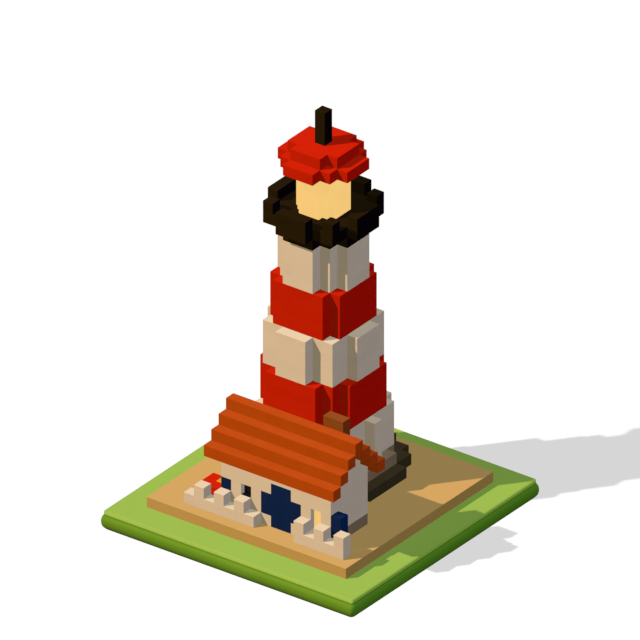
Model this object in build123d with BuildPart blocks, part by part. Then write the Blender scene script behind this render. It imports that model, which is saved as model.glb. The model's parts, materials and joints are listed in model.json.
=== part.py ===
"""A block-built lighthouse with its keeper's cottage, on a board let into a moulded base.

Sizes are in millimetres.  The origin is the middle of the base's underside, with +X to the right
along the front, +Y to the back and +Z up.  Round forms are stepped: they are drawn in square
blocks, and a block counts where its centre lies within the radius.
"""

import os
from math import floor, sqrt

from build123d import *

# Blocks: every stepped outline moves in steps of one block
block = 10.0

# Base: a moulded slab, the turf sheet on it, and the board let into the turf
base_width = 250.0  # across the turf sheet
base_thickness = 17.5  # slab and turf together
base_corner_radius = 2.2  # of the turf, seen from above
turf_thickness = 3.4
turf_rounding = 1.6
neck_height = 1.4  # the upright rim that the slab has under the turf
slab_ledge = 0.8  # how far the slab's shoulder stands out past the turf
bulge_reach = 2.4  # how far the slab swells past the turf
bulge_height = 8.4  # from the floor to the fullest part of the slab
foot_inset = 1.2  # how far the foot is drawn in from the turf's edge
board_width = 200.0
board_thickness = 10.0
board_seat = 0.5  # depth of the pocket that locates the board

# Tower: a footing and a plinth of stone, then bands that taper upwards
footing_radius = 65.0
footing_height = 10.0
plinth_radius = 55.0
plinth_height = 10.0
band_count = 5
band_height = 40.0
tower_foot_radius = 50.5
tower_head_radius = 35.0
tower_x = -15.0

# Gallery, lantern and roof
corbel_radius = 35.0
corbel_height = 10.0
deck_radius = 43.0
deck_height = 10.0
rail_height = 10.0
lantern_radius = 20.0
lantern_cells = 8  # the lantern is drawn in finer blocks, this many across
lantern_height = 40.0
cap_radius = 35.0
cap_height = 10.0
crown_radius = 25.0
crown_height = 10.0
mast_width = 10.0
mast_height = 30.0

# Cottage walls
cottage_left = -40.0
cottage_front = -80.0
cottage_length = 110.0
wall_thickness = 10.0
wall_height = 60.0
stone_course_height = 10.0

# Cottage roof: long courses that step up to the ridge, one eave course outside each wall
slope_courses = 3
course_depth = 10.0
course_rise = 10.0
gable_overhang = 10.0
chimney_width = 20.0
chimney_height = 19.3
chimney_inset = 0.25  # from the edges of the course that carries it
chimney_from_right = 20.0

# Door and windows in the front wall
door_radius = 20.0
window_width = 10.0
window_height = 20.0
sill_height = 10.0  # above the ground
window_recess = 4.4
window_box_height = 10.0

# Corner posts, fences and flower bed
post_width = 10.0
post_height = 30.0
fence_thickness = 10.0
fence_height = 10.0
merlon_width = 10.0
merlon_height = 10.0
merlon_pitch = 20.0
merlon_count = 3
gate_width = 40.0
bed_depth = 20.0
bed_setback = 10.0  # one block of open ground behind the fence
bed_height = 10.0
heart_width = 10.0

# Places that follow from the sizes
ground = base_thickness - board_seat + board_thickness
cottage_right = cottage_left + cottage_length
cottage_depth = (2 * slope_courses - 1) * course_depth
cottage_back = cottage_front + cottage_depth
wall_top = ground + wall_height
window_bottom = ground + sill_height

# Along the front wall a corner post, a window, the door and a window leave four equal gaps.
wall_gap = (cottage_length - post_width - 2 * window_width - 2 * door_radius) / 4
left_window_x = cottage_left + post_width + wall_gap + window_width / 2
door_x = left_window_x + window_width / 2 + wall_gap + door_radius
right_window_x = door_x + door_radius + wall_gap + window_width / 2


def half_row(radius, offset, cell, middle):
    """Half the length of the row of cells whose centres lie within the radius."""
    span = sqrt(radius**2 - offset**2)
    return middle + (floor((span - middle) / cell) + 0.5) * cell


def stepped_disc(radius, cell, middle=0.0, mode=Mode.ADD):
    """Draw a round outline in square cells; the first row lies `middle` from the axis."""
    last_row = floor((sqrt(radius**2 - middle**2) - middle) / cell)
    for row in range(last_row + 1):
        offset = middle + row * cell
        with Locations((0, offset), (0, -offset)):
            Rectangle(2 * half_row(radius, offset, cell, middle), cell, mode=mode)


def save(piece, name):
    """Label a finished piece and write it to a file of its own."""
    piece.part.label = name
    export_step(piece.part, f"parts/{name}.step")


os.makedirs("parts", exist_ok=True)


# ---- Base and board ----

edge = base_width / 2
slab_top = base_thickness - turf_thickness
shoulder = slab_top - neck_height

# Half the length of a straight side, up to the axis about which the corners are turned
corner_axis_place = edge - base_corner_radius


def slab_section(plane, inner):
    """The slab's section from `inner` outwards: a neck, a shoulder and a swelling side."""
    with BuildSketch(plane) as section:
        with BuildLine():
            Polyline((inner, slab_top), (edge, slab_top), (edge, shoulder))
            Line((edge, shoulder), (edge + slab_ledge, shoulder))
            ThreePointArc(
                (edge + slab_ledge, shoulder),
                (edge + bulge_reach, bulge_height),
                (edge - foot_inset, 0),
            )
            Polyline((edge - foot_inset, 0), (inner, 0), (inner, slab_top))
        make_face()
    return section.sketch


def turf_section(plane, inner):
    """The turf's section from `inner` outwards, with its upper edge rounded."""
    with BuildSketch(plane) as section:
        with Locations((inner, slab_top)):
            Rectangle(edge - inner, turf_thickness, align=(Align.MIN, Align.MIN))
        fillet(section.vertices().group_by(Axis.Y)[-1].sort_by(Axis.X)[-1], turf_rounding)
    return section.sketch


def carry_round(section):
    """Two straight sides and a turned corner make one quarter, which is mirrored twice."""
    extrude(section(Plane.XZ, 0), amount=-corner_axis_place)
    extrude(section(Plane.YZ, 0), amount=corner_axis_place)
    revolve(
        section(Plane.XZ.offset(-corner_axis_place), corner_axis_place),
        axis=Axis((corner_axis_place, corner_axis_place, 0), (0, 0, 1)),
        revolution_arc=90,
    )
    mirror(about=Plane.YZ)
    mirror(about=Plane.XZ)


with BuildPart() as base_slab:
    carry_round(slab_section)
save(base_slab, "base_slab")

with BuildPart() as turf_sheet:
    carry_round(turf_section)
    with BuildSketch(Plane.XY.offset(base_thickness)):
        Rectangle(board_width, board_width)
    extrude(amount=-board_seat, mode=Mode.SUBTRACT)
save(turf_sheet, "turf_sheet")

with BuildPart() as ground_board:
    with BuildSketch(Plane.XY.offset(ground - board_thickness)):
        Rectangle(board_width, board_width)
    extrude(amount=board_thickness)
save(ground_board, "ground_board")


# ---- Tower ----

# The plinth's foremost row of blocks stands against the cottage's back wall.
tower_y = cottage_back + half_row(plinth_radius, 0, block, 0)

plinth_bottom = ground + footing_height
bands_bottom = plinth_bottom + plinth_height


def band_radius(band):
    """The bands taper evenly from the foot radius to the head radius."""
    return tower_foot_radius + (tower_head_radius - tower_foot_radius) * band / (band_count - 1)


with BuildPart() as tower_footing:
    with BuildSketch(Plane((tower_x, tower_y, ground))):
        stepped_disc(footing_radius, block)
    extrude(amount=footing_height)
    with BuildSketch(Plane.XY.offset(ground)):
        with Locations((cottage_left, cottage_front)):
            Rectangle(cottage_length, cottage_depth, align=(Align.MIN, Align.MIN))
    extrude(amount=footing_height, mode=Mode.SUBTRACT)
save(tower_footing, "tower_footing")

with BuildPart() as tower_plinth:
    with BuildSketch(Plane((tower_x, tower_y, plinth_bottom))):
        stepped_disc(plinth_radius, block)
    extrude(amount=plinth_height)
save(tower_plinth, "tower_plinth")

for band in range(band_count):
    with BuildPart() as tower_band:
        with BuildSketch(Plane((tower_x, tower_y, bands_bottom + band * band_height))):
            stepped_disc(band_radius(band), block)
        extrude(amount=band_height)
    save(tower_band, f"tower_band_{band + 1}")


# ---- Gallery and lantern ----

corbel_bottom = bands_bottom + band_count * band_height
deck_bottom = corbel_bottom + corbel_height
deck_top = deck_bottom + deck_height
cap_bottom = deck_top + lantern_height
crown_bottom = cap_bottom + cap_height
mast_bottom = crown_bottom + crown_height

with BuildPart() as gallery_corbel:
    with BuildSketch(Plane((tower_x, tower_y, corbel_bottom))):
        stepped_disc(corbel_radius, block)
    extrude(amount=corbel_height)
save(gallery_corbel, "gallery_corbel")

with BuildPart() as gallery_deck:
    with BuildSketch(Plane((tower_x, tower_y, deck_bottom))):
        stepped_disc(deck_radius, block)
    extrude(amount=deck_height)
save(gallery_deck, "gallery_deck")

# A rail stands on each flat side of the deck, and a post on each of its diagonal corners.
rail_offset = floor(deck_radius / block) * block
rail_length = 2 * half_row(deck_radius, rail_offset, block, 0)
post_offset = floor(deck_radius / sqrt(2) / block) * block

for side, turn in (("front", -90), ("right", 0), ("back", 90), ("left", 180)):
    with BuildPart() as gallery_rail:
        with BuildSketch(Plane((tower_x, tower_y, deck_top)).rotated((0, 0, turn))):
            with Locations((rail_offset, 0)):
                Rectangle(block, rail_length)
        extrude(amount=rail_height)
    save(gallery_rail, f"gallery_rail_{side}")

with BuildPart() as gallery_posts:
    with BuildSketch(Plane((tower_x, tower_y, deck_top))):
        with GridLocations(2 * post_offset, 2 * post_offset, 2, 2):
            Rectangle(block, block)
    extrude(amount=rail_height)
save(gallery_posts, "gallery_posts")

lantern_cell = 2 * lantern_radius / lantern_cells

with BuildPart() as lantern_light:
    with BuildSketch(Plane((tower_x, tower_y, deck_top))):
        stepped_disc(lantern_radius, lantern_cell, lantern_cell / 2)
    extrude(amount=lantern_height)
save(lantern_light, "lantern_light")

with BuildPart() as lantern_roof_lower:
    with BuildSketch(Plane((tower_x, tower_y, cap_bottom))):
        stepped_disc(cap_radius, block)
    extrude(amount=cap_height)
save(lantern_roof_lower, "lantern_roof_lower")

with BuildPart() as lantern_roof_upper:
    with BuildSketch(Plane((tower_x, tower_y, crown_bottom))):
        stepped_disc(crown_radius, block)
    extrude(amount=crown_height)
save(lantern_roof_upper, "lantern_roof_upper")

with BuildPart() as roof_mast:
    with BuildSketch(Plane((tower_x, tower_y, mast_bottom))):
        Rectangle(mast_width, mast_width)
    extrude(amount=mast_height)
save(roof_mast, "roof_mast")


# ---- Cottage walls ----

# Plane.XZ faces the front: its outlines are drawn in X and Z and extruded towards the back.
front_face = Plane.XZ.offset(-cottage_front)
back_face_inside = Plane.XZ.offset(-(cottage_back - wall_thickness))
door_plane = Plane((door_x, cottage_front, ground + door_radius), z_dir=(0, -1, 0))

with BuildPart() as cottage_front_wall:
    with BuildSketch(front_face):
        with Locations((cottage_left, ground)):
            Rectangle(cottage_length, wall_height, align=(Align.MIN, Align.MIN))
            Rectangle(post_width, post_height, align=(Align.MIN, Align.MIN), mode=Mode.SUBTRACT)
        with Locations((left_window_x, window_bottom), (right_window_x, window_bottom)):
            Rectangle(
                window_width, window_height, align=(Align.CENTER, Align.MIN), mode=Mode.SUBTRACT
            )
    extrude(amount=-wall_thickness)
    with BuildSketch(door_plane):
        stepped_disc(door_radius, block, block / 2)
    extrude(amount=-wall_thickness, mode=Mode.SUBTRACT)
save(cottage_front_wall, "cottage_front_wall")

with BuildPart() as cottage_door:
    with BuildSketch(door_plane):
        stepped_disc(door_radius, block, block / 2)
    extrude(amount=-wall_thickness)
save(cottage_door, "cottage_door")

with BuildPart() as cottage_back_wall:
    with BuildSketch(back_face_inside):
        with Locations((cottage_left, ground + stone_course_height)):
            Rectangle(
                cottage_length, wall_height - stone_course_height, align=(Align.MIN, Align.MIN)
            )
    extrude(amount=-wall_thickness)
save(cottage_back_wall, "cottage_back_wall")

gable_bottom = ground + stone_course_height
gable_length = cottage_depth - 2 * wall_thickness

# The stone course runs under both gables and the back wall, round the floor of the cottage.
with BuildPart() as stone_course:
    with BuildSketch(Plane.XY.offset(ground)):
        with Locations((cottage_left, cottage_front + wall_thickness)):
            Rectangle(
                cottage_length, cottage_depth - wall_thickness, align=(Align.MIN, Align.MIN)
            )
        with Locations((cottage_left + wall_thickness, cottage_front + wall_thickness)):
            Rectangle(
                cottage_length - 2 * wall_thickness,
                gable_length,
                align=(Align.MIN, Align.MIN),
                mode=Mode.SUBTRACT,
            )
    extrude(amount=stone_course_height)
save(stone_course, "stone_course")

for side, gable_x in (("left", cottage_left), ("right", cottage_right - wall_thickness)):
    with BuildPart() as cottage_gable:
        with BuildSketch(Plane.YZ.offset(gable_x)):
            for course in range(2 * slope_courses - 1):
                level = min(course, 2 * slope_courses - 2 - course)
                with Locations((cottage_front + course * course_depth, gable_bottom)):
                    Rectangle(
                        course_depth,
                        wall_height - stone_course_height + level * course_rise,
                        align=(Align.MIN, Align.MIN),
                    )
            with Locations((cottage_front + cottage_depth / 2, gable_bottom)):
                Rectangle(
                    gable_length,
                    wall_height + slope_courses * course_rise,
                    align=(Align.CENTER, Align.MIN),
                    mode=Mode.INTERSECT,
                )
        extrude(amount=wall_thickness)
    save(cottage_gable, f"cottage_gable_{side}")


# ---- Windows ----

pane_face = Plane.XZ.offset(-(cottage_front + window_recess))
pane_thickness = wall_thickness - window_recess

with BuildPart() as window_pane_right:
    with BuildSketch(pane_face):
        with Locations((right_window_x, window_bottom)):
            Rectangle(window_width, window_height, align=(Align.CENTER, Align.MIN))
    extrude(amount=-pane_thickness)
save(window_pane_right, "window_pane_right")

with BuildPart() as window_pane_left:
    with BuildSketch(pane_face):
        with Locations((left_window_x, window_bottom + window_box_height)):
            Rectangle(
                window_width, window_height - window_box_height, align=(Align.CENTER, Align.MIN)
            )
    extrude(amount=-pane_thickness)
save(window_pane_left, "window_pane_left")

with BuildPart() as window_box_left:
    with BuildSketch(front_face):
        with Locations((left_window_x, window_bottom)):
            Rectangle(window_width, window_box_height, align=(Align.CENTER, Align.MIN))
    extrude(amount=-wall_thickness)
save(window_box_left, "window_box_left")


# ---- Roof ----


def course_top(course):
    """Height of a roof course's top: the eave courses hang outside the wall tops."""
    return wall_top + min(course, 2 * slope_courses - course) * course_rise


def course_name(course):
    """Courses are counted up from the eave on each slope, and the topmost is the ridge."""
    if course == slope_courses:
        return "roof_ridge"
    if course < slope_courses:
        return f"roof_front_{course + 1}"
    return f"roof_back_{2 * slope_courses - course + 1}"


roof_length = cottage_length + 2 * gable_overhang
roof_x = cottage_left + cottage_length / 2

for course in range(2 * slope_courses + 1):
    course_front = cottage_front + (course - 1) * course_depth
    with BuildPart() as roof_course:
        with BuildSketch(Plane.XY.offset(course_top(course) - course_rise)):
            with Locations((roof_x, course_front)):
                Rectangle(roof_length, course_depth, align=(Align.CENTER, Align.MIN))
        extrude(amount=course_rise)
        # The back courses are notched round the tower's lowest band.
        with BuildSketch(Plane((tower_x, tower_y, bands_bottom))):
            stepped_disc(band_radius(0), block)
        extrude(amount=band_height, mode=Mode.SUBTRACT)
    save(roof_course, course_name(course))

chimney_course = slope_courses + 1

with BuildPart() as chimney:
    with BuildSketch(Plane.XY.offset(course_top(chimney_course))):
        chimney_y = cottage_front + (chimney_course - 0.5) * course_depth
        with Locations((cottage_right - chimney_from_right, chimney_y)):
            Rectangle(chimney_width, course_depth - 2 * chimney_inset)
    extrude(amount=chimney_height)
save(chimney, "chimney")


# ---- Corner posts, fences and flower bed ----

with BuildPart() as corner_post_left:
    with BuildSketch(Plane.XY.offset(ground)):
        with Locations((cottage_left, cottage_front)):
            Rectangle(post_width, wall_thickness, align=(Align.MIN, Align.MIN))
    extrude(amount=post_height)
save(corner_post_left, "corner_post_left")

with BuildPart() as corner_post_right:
    with BuildSketch(Plane.XY.offset(ground)):
        with Locations((cottage_right, cottage_front)):
            Rectangle(post_width, wall_thickness, align=(Align.MIN, Align.MIN))
    extrude(amount=post_height)
save(corner_post_right, "corner_post_right")

# Each fence is a low wall with merlons; the right one starts with a merlon at the gate and the
# left one with a gap as wide as a merlon.
fence_run = (merlon_count - 1) * merlon_pitch + merlon_width
fence_margin = merlon_width
left_fence_length = fence_run + 2 * fence_margin
left_fence_end = door_x - gate_width / 2
fence_fronts = (
    ("left", left_fence_end - left_fence_length, left_fence_length, fence_margin),
    ("right", door_x + gate_width / 2, fence_run, 0.0),
)

for side, fence_start, fence_length, margin in fence_fronts:
    with BuildPart() as fence:
        with BuildSketch(front_face):
            with Locations((fence_start, ground)):
                Rectangle(fence_length, fence_height, align=(Align.MIN, Align.MIN))
            for merlon in range(merlon_count):
                with Locations((fence_start + margin + merlon * merlon_pitch, ground)):
                    Rectangle(
                        merlon_width, fence_height + merlon_height, align=(Align.MIN, Align.MIN)
                    )
        extrude(amount=fence_thickness)
    save(fence, f"fence_{side}")

bed_left = left_fence_end - left_fence_length
bed_length = cottage_left - bed_left
bed_front = cottage_front + bed_setback
bed_back = bed_front + bed_depth
heart_place = (bed_left + bed_length / 2, bed_back)

with BuildPart() as flower_bed:
    with BuildSketch(Plane.XY.offset(ground)):
        with Locations((bed_left, bed_front)):
            Rectangle(bed_length, bed_depth, align=(Align.MIN, Align.MIN))
        with Locations(heart_place):
            Rectangle(
                heart_width, heart_width, align=(Align.CENTER, Align.MAX), mode=Mode.SUBTRACT
            )
    extrude(amount=bed_height)
save(flower_bed, "flower_bed")

with BuildPart() as flower_heart:
    with BuildSketch(Plane.XY.offset(ground)):
        with Locations(heart_place):
            Rectangle(heart_width, heart_width, align=(Align.CENTER, Align.MAX))
    extrude(amount=bed_height)
save(flower_heart, "flower_heart")
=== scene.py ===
# %% [markdown]
# # A block-built lighthouse, dressed for the shelf
#
# The object is a tabletop model: a striped tower, a keeper's cottage with a crenellated fence,
# a stained board, and a green base in two layers.  All of it is built of painted wooden
# blocks, ten millimetres a side.  The engineering model arrives as a fixed frame, and this
# lesson gives it its looks: paint, eased edges, a moulded base, a lit lantern, and the light
# that it is shown in.
#
# Everything is in metres.  The origin is the middle of the base's underside, +X runs to the
# right along the fence, +Y to the back of the board, and +Z up the tower.

# %% Load the frame
import json

import bpy
import numpy as np
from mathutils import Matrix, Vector


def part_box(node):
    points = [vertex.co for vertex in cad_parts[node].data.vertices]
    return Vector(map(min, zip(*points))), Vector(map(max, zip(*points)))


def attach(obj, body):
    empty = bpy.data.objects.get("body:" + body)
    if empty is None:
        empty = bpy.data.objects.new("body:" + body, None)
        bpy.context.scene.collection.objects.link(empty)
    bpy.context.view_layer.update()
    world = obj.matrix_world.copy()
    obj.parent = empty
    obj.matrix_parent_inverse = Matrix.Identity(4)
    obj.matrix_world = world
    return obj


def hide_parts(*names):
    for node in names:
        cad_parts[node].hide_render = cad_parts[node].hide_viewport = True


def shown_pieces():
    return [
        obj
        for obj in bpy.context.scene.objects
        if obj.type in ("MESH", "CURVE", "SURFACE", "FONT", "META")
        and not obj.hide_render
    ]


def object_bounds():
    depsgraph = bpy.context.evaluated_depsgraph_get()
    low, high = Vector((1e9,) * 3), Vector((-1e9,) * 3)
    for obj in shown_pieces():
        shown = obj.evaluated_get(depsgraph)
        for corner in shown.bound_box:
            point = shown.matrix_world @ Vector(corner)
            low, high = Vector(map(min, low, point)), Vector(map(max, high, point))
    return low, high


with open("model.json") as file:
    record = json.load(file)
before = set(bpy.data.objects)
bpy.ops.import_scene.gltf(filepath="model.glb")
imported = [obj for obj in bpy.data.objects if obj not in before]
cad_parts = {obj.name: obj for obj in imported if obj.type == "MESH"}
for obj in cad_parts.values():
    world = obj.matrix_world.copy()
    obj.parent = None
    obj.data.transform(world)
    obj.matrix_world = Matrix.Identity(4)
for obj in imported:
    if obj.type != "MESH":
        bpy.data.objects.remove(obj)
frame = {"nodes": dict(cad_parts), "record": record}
nodes = frame["nodes"]
cad_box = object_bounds()
mm = 0.001
block = 10 * mm

print("nodes:", len(nodes), "box:", [round(v, 4) for corner in cad_box for v in corner])

# %% [markdown]
# ## Colours from a paint chart
#
# Paint charts give colours as the eye reads them on a screen, from 0 to 255, while a shader
# wants the share of light that comes back.  One small function turns the first into the
# second, so that the rest of the lesson can speak in chart numbers.

# %% A paint chart
def paint(red, green, blue):
    """Light returned by a chart colour: divide by 255, then undo the screen's own curve."""
    shown = np.array([red, green, blue]) / 255
    return np.where(shown > 0.04045, ((shown + 0.055) / 1.055) ** 2.4, shown / 12.92)


print("cream returns", paint(236, 207, 171).round(3))

# %% [markdown]
# ## Building a finish out of nodes
#
# A finish is a small graph: coordinates go in, patterns are worked out from them, and the
# shader turns the patterns into colour, gloss and relief.  Adding a node always takes the same
# few steps, so one helper does them: it makes the node, sets its options, and fills each socket
# with a value or with a link.  Most nodes only reckon, with numbers or with vectors, and two
# colours are often mixed, so these get short helpers of their own.  What is even all over a
# surface is set on the shader's own sockets, where it stays readable and can be changed by hand.

# %% Adding nodes
def add(tree, kind, sockets=None, **options):
    """Add a shader node; a socket given another node's output is linked, else it is set."""
    made = tree.nodes.new("ShaderNode" + kind)
    for option, value in options.items():
        setattr(made, option, value)
    for socket, value in (sockets or {}).items():
        if isinstance(value, bpy.types.NodeSocket):
            tree.links.new(value, made.inputs[socket])
        else:
            made.inputs[socket].default_value = value
    return made


def numbers(tree, operation, *values):
    """The number that an operation makes of one to three numbers, in their order."""
    return add(tree, "Math", dict(enumerate(values)), operation=operation).outputs[0]


def vectors(tree, operation, *values):
    """The vector that an operation makes of one to three vectors, in their order."""
    return add(tree, "VectorMath", dict(enumerate(values)), operation=operation).outputs[0]


def scaled(tree, vector, amount):
    """The vector times a number."""
    sockets = {"Vector": vector, "Scale": amount}
    return add(tree, "VectorMath", sockets, operation="SCALE").outputs[0]


def mixed(tree, factor, first, second):
    """The first colour times one minus the factor, plus the second colour times the factor."""
    colour_a, colour_b, colour_result = 6, 7, 2
    sockets = {"Factor": factor, colour_a: (*first, 1), colour_b: (*second, 1)}
    return add(tree, "Mix", sockets, data_type="RGBA").outputs[colour_result]


def noise(tree, place, scale, detail, distortion=0.0):
    """Cloudy noise from 0 to 1 that changes about `scale` times in a metre."""
    sockets = {"Vector": place, "Scale": scale, "Detail": detail, "Distortion": distortion}
    return add(tree, "TexNoise", sockets).outputs["Fac"]


def new_finish(name, **sockets):
    """A material with a fresh shader, whose even values are set on the shader's own sockets."""
    finish = bpy.data.materials.new(name)
    finish.use_nodes = True
    shader = finish.node_tree.nodes["Principled BSDF"]
    for socket, value in sockets.items():
        shader.inputs[socket.replace("_", " ")].default_value = value
    return finish, finish.node_tree, shader


helpers = (add, numbers, vectors, scaled, mixed, noise, new_finish)
print("node helpers:", [helper.__name__ for helper in helpers])

# %% [markdown]
# ## Which block does a point belong to?
#
# The model is a stack of blocks that were painted one by one, so each has a tone of its own.
# A shader can find the block by dividing the place by the block's size and dropping what
# stands behind the point.  A face lies exactly between two blocks, though, and would flicker
# between their tones.  So the point is first moved a little way into the wood, against the
# direction in which the surface faces.  Heights are counted from the board's top, where the
# lowest course stands.

# %% Block numbers
board_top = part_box("ground_board")[1][2]
into_the_wood = 2 * mm


def block_number(tree, place):
    """Whole blocks along each axis: the place less 2 mm of the facing, and less the board's
    top in height, over the block's size, rounded down."""
    facing = add(tree, "NewGeometry").outputs["Normal"]
    inside = vectors(tree, "MULTIPLY_ADD", facing, (-into_the_wood,) * 3, place)
    lowest = (0, 0, -board_top / block)
    counted = vectors(tree, "MULTIPLY_ADD", inside, (1 / block,) * 3, lowest)
    return vectors(tree, "FLOOR", counted)


print("the lowest course starts at", round(board_top / mm, 2), "mm")

# %% [markdown]
# ## Painted shade on faces to the front and to the right
#
# The upright faces are painted deeper than one lamp and the room's light make them, and a
# little different in hue, most of all on dark paint: this is painted shade.  A lamp can't do
# that for one paint alone, so the finish carries it: each says what share of its colour it
# keeps on faces to the front and on faces to the right.  A face between the two gets a part
# of both, and a face that looks up keeps the whole.  The share goes by the model's own axes and
# not by the camera's place, so it stays put in every view.  It also stays when the light
# changes, which is the price of this way, and the reason to keep every share close to one where
# the paint allows.

# %% Painted shade on upright faces
def painted_facing_shade(tree, front, right):
    """Painted shade as a share of colour = 1 + (right - 1) times the facing's X where that is
    above zero, + (front - 1) times minus the facing's Y where that is above zero; one share for
    each of the colours."""
    facing = add(tree, "SeparateXYZ", {0: add(tree, "TexCoord").outputs["Normal"]}).outputs
    rightwards = numbers(tree, "MAXIMUM", facing["X"], 0.0)
    frontwards = numbers(tree, "MINIMUM", facing["Y"], 0.0)
    right_change = tuple(share - 1 for share in right)
    front_change = tuple(1 - share for share in front)
    kept = vectors(tree, "MULTIPLY_ADD", rightwards, right_change, (1, 1, 1))
    return vectors(tree, "MULTIPLY_ADD", frontwards, front_change, kept)


print("helper:", painted_facing_shade.__name__)

# %% [markdown]
# ## Painted blocks
#
# The paint is matte and was put on with a small brush.  Three patterns carry that: streaks
# along the brush's way, where the coat is thicker or thinner, the tone of each block, and the
# fine tooth of the wood under the paint.  The streaks are noise that is squeezed across the
# brush's way, so each finish says how fast it changes along X, Y and Z.  All three are faint,
# because from an arm's length the model reads as plain colour.
#
# Matte paint hardly mirrors anything, so its specular level is zero, and the blacks stay black.

# %% Paint on blocks
noise_middle = {"From Min": 0.3, "From Max": 0.7}  # noise hardly leaves this range
tooth_scale = 620.0
gloss_spread = 0.05
relief_depth = 0.08 * mm


def painted(
    name,
    thin,
    thick,
    brush=(14, 14, 150),
    # front and right: painted shade, the share of colour kept on faces to the front and right
    front=(1, 1, 1),
    right=(1, 1, 1),
    roughness=0.85,
    tooth=0.03,
    tones=0.025,
    sheen=0.0,
):
    """Colour = thin or thick coat by the streaks, times the painted shade share for the facing,
    times one plus the block's tone and the tooth's; gloss follows the streaks, and relief is
    streaks plus tooth."""
    finish, tree, shader = new_finish(name, Specular_IOR_Level=sheen)
    place = add(tree, "TexCoord").outputs["Object"]
    streaks = noise(tree, vectors(tree, "MULTIPLY", place, brush), scale=1.0, detail=3.0)
    grain = noise(tree, place, tooth_scale, detail=4.0)
    own_tone = add(tree, "TexWhiteNoise", {"Vector": block_number(tree, place)}).outputs["Value"]

    coat = add(tree, "MapRange", {"Value": streaks, **noise_middle}).outputs[0]
    colour = mixed(tree, coat, thin, thick)
    # painted shade: the colour times the share that the facing keeps
    kept = vectors(tree, "MULTIPLY", colour, painted_facing_shade(tree, front, right))
    middle = 1 - tones / 2 - tooth / 2
    block_tone = numbers(tree, "MULTIPLY_ADD", own_tone, tones, middle)
    tone = numbers(tree, "MULTIPLY_ADD", grain, tooth, block_tone)
    dullest = min(roughness + gloss_spread, 1)
    gloss_range = {"To Min": dullest, "To Max": roughness - gloss_spread}
    gloss = add(tree, "MapRange", {"Value": streaks, **gloss_range})
    height = numbers(tree, "ADD", streaks, grain)
    relief = add(tree, "Bump", {"Height": height, "Strength": 0.12, "Distance": relief_depth})
    tree.links.new(scaled(tree, kept, tone), shader.inputs["Base Color"])
    tree.links.new(gloss.outputs[0], shader.inputs["Roughness"])
    tree.links.new(relief.outputs[0], shader.inputs["Normal"])
    return finish


print("the tooth changes every", round(1 / tooth_scale / mm, 1), "mm")

# %% [markdown]
# ## The paints
#
# The tower's bands were brushed round the tower, so their streaks change fast only along Z.
# The roof's courses are long strips, brushed along X.  The door was brushed up and down.  The
# thin and the thick coat of each paint are only a few chart numbers apart.

# %% Mix the paints
along_the_roof = (12, 140, 140)
up_and_down = (150, 150, 14)

# front and right below are painted shade: the share of each colour kept on faces to the front and
# to the right
finishes = {
    "cream_paint": painted(
        "cream paint", paint(234, 205, 169), paint(238, 209, 173), front=(1.01, 1.0, 0.96)
    ),
    "red_paint": painted(
        "red paint",
        paint(211, 31, 6),
        paint(215, 34, 8),
        front=(0.97, 1.08, 0.49),
        right=(0.98, 0.47, 0.6),
    ),
    "orange_paint": painted(
        "roof orange",
        paint(195, 75, 18),
        paint(199, 78, 20),
        along_the_roof,
        front=(0.98, 1.01, 0.55),
        right=(0.99, 0.84, 0.6),
    ),
    "black_paint": painted(
        "tarred black",
        paint(39, 26, 9),
        paint(42, 28, 11),
        front=(1.1, 1.11, 0.74),
        right=(0.22, 0.17, 1.1),
        roughness=0.95,
    ),
    "navy_paint": painted(
        "door navy",
        paint(17, 36, 71),
        paint(20, 39, 75),
        up_and_down,
        front=(1.08, 1.09, 1.09),
        right=(0.3, 1.4, 1.5),
    ),
    "brown_paint": painted(
        "chimney brown",
        paint(149, 75, 32),
        paint(153, 78, 35),
        front=(0.98, 0.98, 0.55),
        right=(0.92, 0.7, 0.48),
    ),
    "yellow_paint": painted("flower yellow", paint(236, 148, 32), paint(241, 153, 36)),
}
print("paints:", sorted(finishes))

# %% [markdown]
# ## Stone
#
# The tower's footing and plinth, and the cottage's lowest course, are painted as stone.  The
# painter dabbed the coat on instead of brushing it, so the noise runs equally fast along all
# three axes, the tooth is four times as strong, and the blocks differ more from each other.

# %% Stone coats
dabbed_stone = {"brush": (70, 70, 70), "roughness": 0.9, "tooth": 0.12, "tones": 0.05}
# right is painted shade: the share of each colour kept on faces to the right
finishes["warm_stone"] = painted(
    "warm stone",
    paint(154, 126, 96),
    paint(162, 134, 103),
    right=(0.88, 0.87, 0.84),
    **dabbed_stone,
)
finishes["dark_stone"] = painted(
    "dark stone",
    paint(72, 56, 35),
    paint(79, 63, 41),
    right=(0.78, 0.85, 0.74),
    **dabbed_stone,
)
print("stones:", [name for name in finishes if name.endswith("stone")])
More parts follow.
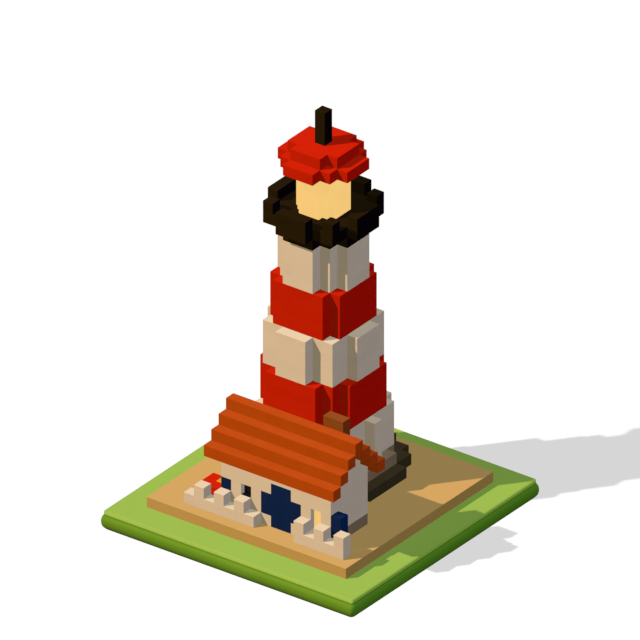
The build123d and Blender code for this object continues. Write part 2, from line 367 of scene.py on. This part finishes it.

# %% [markdown]
# ## The stained board
#
# The board is one panel of light wood with a thin stain, so its grain shows through: long
# fibres along X, some a shade darker.  A fibre is noise that changes slowly along the board
# and fast across it.  Its upright edges carry painted shade: they are made deeper and yellower
# than the face.  An edge is where the surface doesn't face up or down, so the size of
# the facing's Z part tells the face from the edge.

# %% Wood grain under a stain
def stained(name, face, painted_edge_shade, front, right, fibres=(9, 210, 210), depth=0.03):
    """Colour = the face's, times the painted edge shade where the surface stands upright, times
    the painted shade share for the facing, times one plus a small part of the fibre noise."""
    finish, tree, shader = new_finish(name, Specular_IOR_Level=0.0, Roughness=0.85)
    place = add(tree, "TexCoord").outputs["Object"]
    facing = add(tree, "NewGeometry").outputs["Normal"]
    up = add(tree, "SeparateXYZ", {0: facing}).outputs["Z"]
    lying = numbers(tree, "ABSOLUTE", up)
    # painted shade: upright edges deeper and yellower than the face
    stain_and_edge_shade = mixed(tree, lying, face * np.array(painted_edge_shade), face)
    along = vectors(tree, "MULTIPLY", place, fibres)
    fibre = noise(tree, along, scale=1.0, detail=5.0, distortion=0.4)
    tone = numbers(tree, "MULTIPLY_ADD", fibre, depth, 1 - depth / 2)
    kept = vectors(tree, "MULTIPLY", stain_and_edge_shade, painted_facing_shade(tree, front, right))
    relief = add(tree, "Bump", {"Height": fibre, "Strength": 0.1, "Distance": relief_depth})
    tree.links.new(scaled(tree, kept, tone), shader.inputs["Base Color"])
    tree.links.new(relief.outputs[0], shader.inputs["Normal"])
    return finish


# the edge shade, front and right are painted shade on the board's upright faces
finishes["tan_board"] = stained(
    "stained board",
    paint(215, 167, 97),
    painted_edge_shade=(0.92, 0.92, 0.72),
    front=(1.01, 1.01, 1.01),
    right=(0.95, 0.93, 0.87),
)
print("the board's long fibres run along X")

# %% [markdown]
# ## Two greens
#
# The turf sheet is a light, yellowish green, and the moulded slab under it a deeper leaf
# green.  Both were rolled, not brushed, and they have no blocks, so they get neither streaks
# nor tones: only a faint tooth and clouds a few centimetres wide.

# %% Greens
clouds = (30, 30, 30)
rolled_green = {"brush": clouds, "roughness": 0.8, "tooth": 0.015, "tones": 0.0}
# right is painted shade: the share of each green kept on faces to the right
finishes["grass_green"] = painted(
    "turf green",
    paint(159, 188, 78),
    paint(161, 190, 80),
    right=(1, 1.1, 0.72),
    **rolled_green,
)
finishes["leaf_green"] = painted(
    "leaf green",
    paint(110, 148, 36),
    paint(114, 152, 40),
    right=(0.73, 0.99, 0.77),
    **rolled_green,
)
print("greens:", [name for name in finishes if name.endswith("green")])

# %% [markdown]
# ## The lantern's light
#
# The lantern and one window are lit from inside.  A lamp behind the panes would leave bright
# and dark spots, where the real ones glow evenly, so the amber itself gives off light.  A haze
# a few centimetres wide keeps the glow from looking flat.  The unlit window is the opposite:
# nearly black, with a quiet gloss.

# %% Amber and dark panes
def glowing(name, light, body):
    """Amber that shines evenly: light and body colour, both times 0.98 to 1.02 by the haze."""
    finish, tree, shader = new_finish(
        name, Roughness=0.4, Specular_IOR_Level=0.0, Emission_Strength=1.0
    )
    place = add(tree, "TexCoord").outputs["Object"]
    haze = noise(tree, place, scale=60.0, detail=2.0)
    glow_range = {"To Min": 0.98, "To Max": 1.02}
    strength = add(tree, "MapRange", {"Value": haze, **noise_middle, **glow_range}).outputs[0]
    tree.links.new(scaled(tree, tuple(light), strength), shader.inputs["Emission Color"])
    tree.links.new(scaled(tree, tuple(body), strength), shader.inputs["Base Color"])
    return finish


finishes["amber_glow"] = glowing("lit amber", paint(239, 198, 118), paint(90, 48, 25))
finishes["dark_pane"] = painted(
    "dark pane",
    paint(22, 16, 25),
    paint(25, 18, 28),
    clouds,
    roughness=0.35,
    tooth=0.0,
    tones=0.0,
    sheen=0.1,
)
print("all finishes:", len(finishes))

# %% [markdown]
# ## Eased edges on the blocks that stay
#
# A sharp edge on a real block is never quite sharp: sandpaper takes it off, and paint rounds
# it further.  The frame's own meshes are loose triangles, so a weld joins them first, and a
# narrow bevel then eases only the true edges.  Both are modifiers, so that the frame's meshes
# themselves stay as they came.
#
# The roof's courses meet each other only along their edges, and the cottage's walls meet
# flush.  Easing those edges would open bright slits between them, so they keep theirs.

# %% Ease and paint the frame's blocks
ease = 0.25 * mm
gap_to_join = 0.01 * mm
true_edge = 30  # degrees that the surface turns by
keeps_edges = ("roof_front", "roof_back", "roof_ridge", "cottage_", "stone_course")


def eased(piece):
    """Join the triangles, then round each edge that turns by more than a true edge does."""
    weld = piece.modifiers.new("join triangles", "WELD")
    weld.merge_threshold = gap_to_join
    bevel = piece.modifiers.new("eased edges", "BEVEL")
    bevel.width = ease
    bevel.segments = 2
    bevel.limit_method = "ANGLE"
    bevel.angle_limit = np.radians(true_edge)


def dressed(piece, finish):
    """Give the piece one finish, whatever it carried before."""
    piece.data.materials.clear()
    piece.data.materials.append(finish)


slots = {part["node"]: part["material_slot"] for part in frame["record"]["subparts"]}
for name, piece in nodes.items():
    if not name.startswith(keeps_edges):
        eased(piece)
    dressed(piece, finishes[slots[name]])
print("dressed", len(nodes), "pieces")

# %% [markdown]
# ## The moulded base
#
# The base is a slab of moulding, carried round a square, with a turf sheet on it.  The slab's
# side swells and is drawn in again at the foot.  A narrow neck of it shows under the turf, as a
# fine dark line between the two greens.
#
# Each layer is one profile carried round a path.  Every point of the profile has a reach,
# outwards from the middle, and a height.  Its ring is a square with rounded corners.  The
# corners of most rings share their centres, so the moulding keeps its width round them.  All
# rings turn by the same angles, so the ways that their points look are worked out only once.

# %% Rings and the skin between them
points_in_a_corner = 9
quarter_turns = np.arange(4)[:, None] * np.pi / 2
turns = (quarter_turns + np.linspace(0, np.pi / 2, points_in_a_corner)).ravel()
outward = np.stack([np.cos(turns), np.sin(turns)], axis=-1)
diagonals = np.repeat(quarter_turns.ravel() + np.pi / 4, points_in_a_corner)
corner_sides = np.sign(np.stack([np.cos(diagonals), np.sin(diagonals)], axis=-1))


def rounded_squares(half_widths, corners):
    """Ring points, anticlockwise: each corner's centre, which lies half the width less the
    radius out on both axes, plus the radius times the cosine and sine of the turn.  Both
    arguments are columns, one row for each ring."""
    centres = corner_sides * (half_widths - corners)[..., None]
    return centres + corners[..., None] * outward


def skin(rings):
    """Faces over a stack of rings: point j of a ring joins j + 1 and the two above them, and
    the first and the last ring are closed by a flat face each."""
    count, around = rings.shape[:2]
    first = np.arange(count - 1)[:, None] * around
    here = np.arange(around)
    after = (here + 1) % around
    quads = np.stack(
        [first + here, first + after, first + around + after, first + around + here], axis=-1
    )
    faces = quads.reshape(-1, 4).tolist()
    return faces + [here[::-1].tolist(), (here + (count - 1) * around).tolist()]


trial = rounded_squares(np.array([[1.0]]), np.array([[0.2]]))
print("one ring has", trial.shape[1], "points and reaches", np.abs(trial).max())

# %% [markdown]
# ## Arcs for the profiles
#
# The slab's side is an arc, and an arc is easiest to state by three points that it passes
# through.  The centre lies equally far from all three, which gives two straight equations
# for it, and the angle then runs evenly from the first point to the last.

# %% Arcs
def arc_through(start, middle, end, steps=22):
    """Points at the centre plus the radius times the angle's cosine and sine, where the centre
    solves 2 (p - start) . centre = p . p - start . start for the other two points p."""
    start, middle, end = map(np.array, (start, middle, end))
    chords = 2 * np.array([middle - start, end - start])
    squares = np.array([middle @ middle - start @ start, end @ end - start @ start])
    centre = np.linalg.solve(chords, squares)
    first, last = (np.arctan2(*(point - centre)[::-1]) for point in (start, end))
    angle = np.linspace(first, last, steps)
    radius = np.linalg.norm(start - centre)
    return centre + radius * np.stack([np.cos(angle), np.sin(angle)], axis=-1)


print("quarter arc:", arc_through((1, 0), (0.5**0.5, 0.5**0.5), (0, 1), 3).round(3).tolist())

# %% [markdown]
# ## The two profiles
#
# The turf's edge and top and the slab's top come from the frame.  The rest is what a gauge
# would read off the moulding: how far it swells, at what height, and how far its foot is drawn
# in.  The turf ends in the shallow pocket that holds the board.
#
# The paint is thick on the turf's edge and on the slab's shoulder, and softens them more than
# the wood under it is rounded.  So each stretch of a profile also says how its normal leans at
# both ends, as the angle above level, and the shading follows those angles instead of the
# facets.  Straight up is 90 degrees, and a wall that looks back to the middle leans by 180.

# %% Profiles of the slab and the turf
edge, _, turf_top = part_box("turf_sheet")[1]
slab_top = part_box("base_slab")[1][2]
board_low, board_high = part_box("ground_board")
ledge, neck, swell, swell_height, foot = 0.8 * mm, 1.4 * mm, 2.4 * mm, 8.4 * mm, 1.5 * mm
shoulder = slab_top - neck
rim = 1 * mm  # of the faces where the layers meet, whose rest is closed by the flat ends
turf_rounding = mm * np.array([(0.05, 1.15), (0.5, 0.4), (1.3, 0)])  # in and down from the edge
down, level, up, inwards = -90, 0, 90, 180
shoulder_lean, neck_lean = 48, 20
edge_leans = [(neck_lean, 50), (50, 70), (70, up)]

side = arc_through((edge - foot, 0), (edge + swell, swell_height), (edge + ledge, shoulder))
slab_profile = np.array([*side, (edge, shoulder), (edge, slab_top), (edge - rim, slab_top)])
run, climb = np.diff(side, axis=0).T
facet_lean = np.degrees(np.arctan2(-run, climb))
side_lean = np.interp(np.arange(len(side)) - 0.5, np.arange(len(facet_lean)), facet_lean)
above_swell = (side[:, 1] - swell_height) / (shoulder - swell_height)
side_lean = np.where(above_swell > 0, shoulder_lean * above_swell, side_lean)
side_leans = np.stack([side_lean[:-1], side_lean[1:]], axis=-1)
slab_leans = np.array([*side_leans, (up, up), (level, neck_lean), (up, up)])

turf_profile = np.array(
    [
        (edge - rim, slab_top),
        (edge, slab_top),
        *((edge, turf_top) - turf_rounding),
        (board_high[0], turf_top),
        (board_high[0], board_low[2]),
    ]
)
turf_leans = np.array([(down, down), *edge_leans, (up, up), (inwards, inwards)])
print("the slab swells to", round(slab_profile[:, 0].max() / mm, 2), "mm from the middle")

# %% [markdown]
# ## Carrying the profiles round
#
# A ring's point looks outwards along the line from its corner's centre, and a profile's normal
# leans up from that line.  The turf's corner is turned tightly, and a ring that reaches further
# out has a wider one.  Under the swell no corner is tighter than three millimetres, because
# the foot's corners are sanded rounder than the turf's.

# %% Make the base
turf_corner = 1.4 * mm
foot_corner = 3.0 * mm
tightest_corner = 0.15 * mm  # of the pocket that holds the board


def shading(leans):
    """Normals at the four corners of each quad of the skin: the outward direction times the
    lean's cosine, with the lean's sine as height.  Lower corners take the stretch's first lean,
    upper corners its second."""
    after = np.roll(outward, -1, axis=0)
    at_corners = np.stack([outward, after, after, outward], axis=1)
    lean = np.radians(leans[:, [0, 0, 1, 1]])[:, None, :, None]
    upright = np.broadcast_to(np.sin(lean), (len(leans), len(outward), 4, 1))
    return np.concatenate([at_corners * np.cos(lean), upright], axis=-1)


def moulding(name, profile, leans, slot, replaced):
    """The closed surface of a profile carried round: one rounded square for each point, whose
    corner radius is the turf's corner plus what the point reaches past the turf."""
    reach, height = profile[:, :1], profile[:, 1:]
    tightest = np.where(height < swell_height, foot_corner, tightest_corner)
    squares = rounded_squares(reach, np.maximum(reach - edge + turf_corner, tightest))
    heights = np.broadcast_to(height[..., None], (*squares.shape[:2], 1))
    rings = np.concatenate([squares, heights], axis=-1)
    mesh = bpy.data.meshes.new(name)
    mesh.from_pydata(rings.reshape(-1, 3).tolist(), [], skin(rings))
    mesh.shade_smooth()
    ends = np.repeat([(0, 0, -1.0), (0, 0, 1.0)], len(outward), axis=0)
    normals = np.concatenate([shading(leans).reshape(-1, 3), ends])
    mesh.normals_split_custom_set(normals.tolist())
    piece = bpy.data.objects.new(name, mesh)
    bpy.context.scene.collection.objects.link(piece)
    dressed(piece, finishes[slot])
    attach(piece, "root")
    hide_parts(replaced)
    print(name, "has", len(mesh.polygons), "faces")
    return piece


moulded_slab = moulding("moulded_slab", slab_profile, slab_leans, "leaf_green", "base_slab")
turf = moulding("turf", turf_profile, turf_leans, "grass_green", "turf_sheet")

# %% [markdown]
# ## The camera
#
# The model is shown in parallel projection, as in a catalogue: no edge runs together with
# another, and all blocks look equally large.  The camera looks at the middle of the model, or
# rather a hair above it, from the right of its front and from above.

# %% Camera
camera_turn, camera_rise = 36.5, 29.22
camera_distance = 1.5
width_in_view = 0.51625
hair = 0.2 * mm
middle_of_all = (np.array(cad_box[0]) + np.array(cad_box[1])) / 2
looked_at = middle_of_all + np.array([0, 0, hair])


def direction(turn, rise):
    """Unit vector: sine and minus cosine of the angle from the front towards +X, both times
    the cosine of the angle above level ground, and that angle's sine as height."""
    turn, rise = np.radians([turn, rise])
    ahead = np.cos(rise)
    return np.array([np.sin(turn) * ahead, -np.cos(turn) * ahead, np.sin(rise)])


def looking_back(towards):
    """Rotation of a camera or a lamp that stands in a direction and looks back along it."""
    return Vector(-towards).to_track_quat("-Z", "Y").to_euler()


towards_camera = direction(camera_turn, camera_rise)
camera = bpy.data.objects.new("camera", bpy.data.cameras.new("camera"))
bpy.context.scene.collection.objects.link(camera)
camera.data.type = "ORTHO"
camera.data.ortho_scale = width_in_view
camera.location = looked_at + camera_distance * towards_camera
camera.rotation_euler = looking_back(towards_camera)
bpy.context.scene.camera = camera
bpy.context.scene.view_settings.view_transform = "Standard"
print("camera at", np.array(camera.location).round(3).tolist())

# %% [markdown]
# ## One lamp from the left
#
# The main lamp stands far off to the left of the front, so its beam is the same everywhere
# and the shadows keep their width.  It is warm, and brings a little more than half of the
# light.  Lamps can be told which pieces they light, and which pieces shade them.  The cottage's
# front lies back under its eave, and with the eave's shadow on it the door and the windows
# would drown, so a twin of the lamp, a little warmer, lights that wall and passes the eave.

# %% Lamps
lamp_turn, lamp_rise = -38.9, 42
beam_spread = 0.7
lamp_energy = 2.68
lamp_colour = (1, 0.851, 0.728)
twin_colour = (1, 0.84, 0.68)
towards_lamp = direction(lamp_turn, lamp_rise)


def listed(name, pieces):
    """A collection that only lists pieces, for a lamp to pick what it lights or what shades it."""
    pieces_named = bpy.data.collections.new(name)
    for piece in pieces:
        pieces_named.objects.link(piece)
    return pieces_named


def lamp(name, energy, colour, lights, shaded_by):
    """A far lamp whose beam comes from the one direction that all lamps share."""
    made = bpy.data.objects.new(name, bpy.data.lights.new(name, "SUN"))
    bpy.context.scene.collection.objects.link(made)
    made.data.energy = energy
    made.data.color = colour
    made.data.angle = np.radians(beam_spread)
    made.rotation_euler = looking_back(towards_lamp)
    made.light_linking.receiver_collection = listed(name + " lights", lights)
    made.light_linking.blocker_collection = listed(name + " is shaded by", shaded_by)


under_the_eave = (
    "cottage_front_wall",
    "cottage_door",
    "window_pane_left",
    "window_pane_right",
    "window_box_left",
    "corner_post_left",
)
eave = "roof_front_1"
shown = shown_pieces()
open_to_lamp = [piece for piece in shown if piece.name not in under_the_eave]
front_wall = [piece for piece in shown if piece.name in under_the_eave]
all_but_eave = [piece for piece in shown if piece.name != eave]
lamp("main lamp", lamp_energy, lamp_colour, open_to_lamp, shown)
lamp("lamp on the front", lamp_energy, twin_colour, front_wall, all_but_eave)
print("the lamp lights", len(open_to_lamp), "pieces, its twin", len(front_wall))

# %% [markdown]
# ## Soft light from the room
#
# The rest of the light comes from all round, a little cool, and cooler from the right and from
# behind than from the left.  The world gives it: one colour, plus a gradient along X and one
# along Y.  The camera and mirrors see plain white instead.  The pieces are kept out of each
# other's soft light, so that every face of one kind has one even shade, as on a paint card.

# %% World
def seen_directly(tree):
    """One for rays that come straight from the camera or by way of gloss or glass, else zero."""
    path = add(tree, "LightPath").outputs
    camera_or_gloss = numbers(tree, "MAXIMUM", path["Is Camera Ray"], path["Is Glossy Ray"])
    return numbers(tree, "MAXIMUM", camera_or_gloss, path["Is Transmission Ray"])


even_part = (0.43, 0.515, 0.585)
right_part = (0.099, 0.104, 0.322)
back_part = (0.009, 0.053, 0.128)

room = bpy.data.worlds.new("studio")
bpy.context.scene.world = room
room.cycles.sampling_method = "NONE"
room.use_nodes = True
room_tree = room.node_tree
room_tree.nodes.clear()
ray = add(room_tree, "TexCoord").outputs["Generated"]
ray_along = add(room_tree, "SeparateXYZ", {0: ray}).outputs
from_sides = vectors(room_tree, "MULTIPLY_ADD", ray_along["X"], right_part, even_part)
from_all_round = vectors(room_tree, "MULTIPLY_ADD", ray_along["Y"], back_part, from_sides)
soft_light = add(room_tree, "Background", {"Color": from_all_round}).outputs[0]
white = add(room_tree, "Background", {"Color": (1, 1, 1, 1)}).outputs[0]
sockets = {0: seen_directly(room_tree), 1: soft_light, 2: white}
whole = add(room_tree, "MixShader", sockets).outputs[0]
add(room_tree, "OutputWorld", {"Surface": whole})
for piece in shown:
    piece.visible_diffuse = False
print("soft light straight up:", even_part)

# %% [markdown]
# ## A white floor that keeps the shadow
#
# The floor is a sheet of white paper, wide enough for every view.  It has to stay white where
# the lamp reaches it and turn pale grey in the model's shadow, and it must not tint the model.
# So it is mostly light of its own, with a thin diffuse part for a lamp that lights the floor
# alone: the difference between the two is the depth of the shadow.  To all other rays it is
# a dull grey, which gives the upright faces their darker lower half.  The base lies flat on
# the paper and throws no shadow worth showing.

# %% Floor
floor_half = 4.0
floor_energy = 30.6
in_shadow = (0.65, 0.645, 0.64, 1)
thin_grey = (0.052, 0.052, 0.052, 1)
dull_grey = (0.1, 0.1, 0.1, 1)
floor_mesh = bpy.data.meshes.new("floor")
corners = [(-1, -1), (1, -1), (1, 1), (-1, 1)]
floor_mesh.from_pydata([(floor_half * x, floor_half * y, 0) for x, y in corners], [], [range(4)])
floor = bpy.data.objects.new("floor", floor_mesh)
bpy.context.scene.collection.objects.link(floor)

paper = bpy.data.materials.new("white paper")
paper.use_nodes = True
paper.cycles.emission_sampling = "NONE"
paper_tree = paper.node_tree
paper_tree.nodes.clear()
diffuse_part = add(paper_tree, "BsdfDiffuse", {"Color": thin_grey}).outputs[0]
own_light = add(paper_tree, "Emission", {"Color": in_shadow}).outputs[0]
pale = add(paper_tree, "AddShader", {0: diffuse_part, 1: own_light}).outputs[0]
dull = add(paper_tree, "Emission", {"Color": dull_grey}).outputs[0]
sockets = {0: seen_directly(paper_tree), 1: dull, 2: pale}
seen = add(paper_tree, "MixShader", sockets).outputs[0]
add(paper_tree, "OutputMaterial", {"Surface": seen})
dressed(floor, paper)
above_the_base = [piece for piece in shown if piece not in (moulded_slab, turf)]
lamp("lamp on the floor", floor_energy, (1, 1, 1), [floor], above_the_base)
print("floor:", 2 * floor_half, "m square")
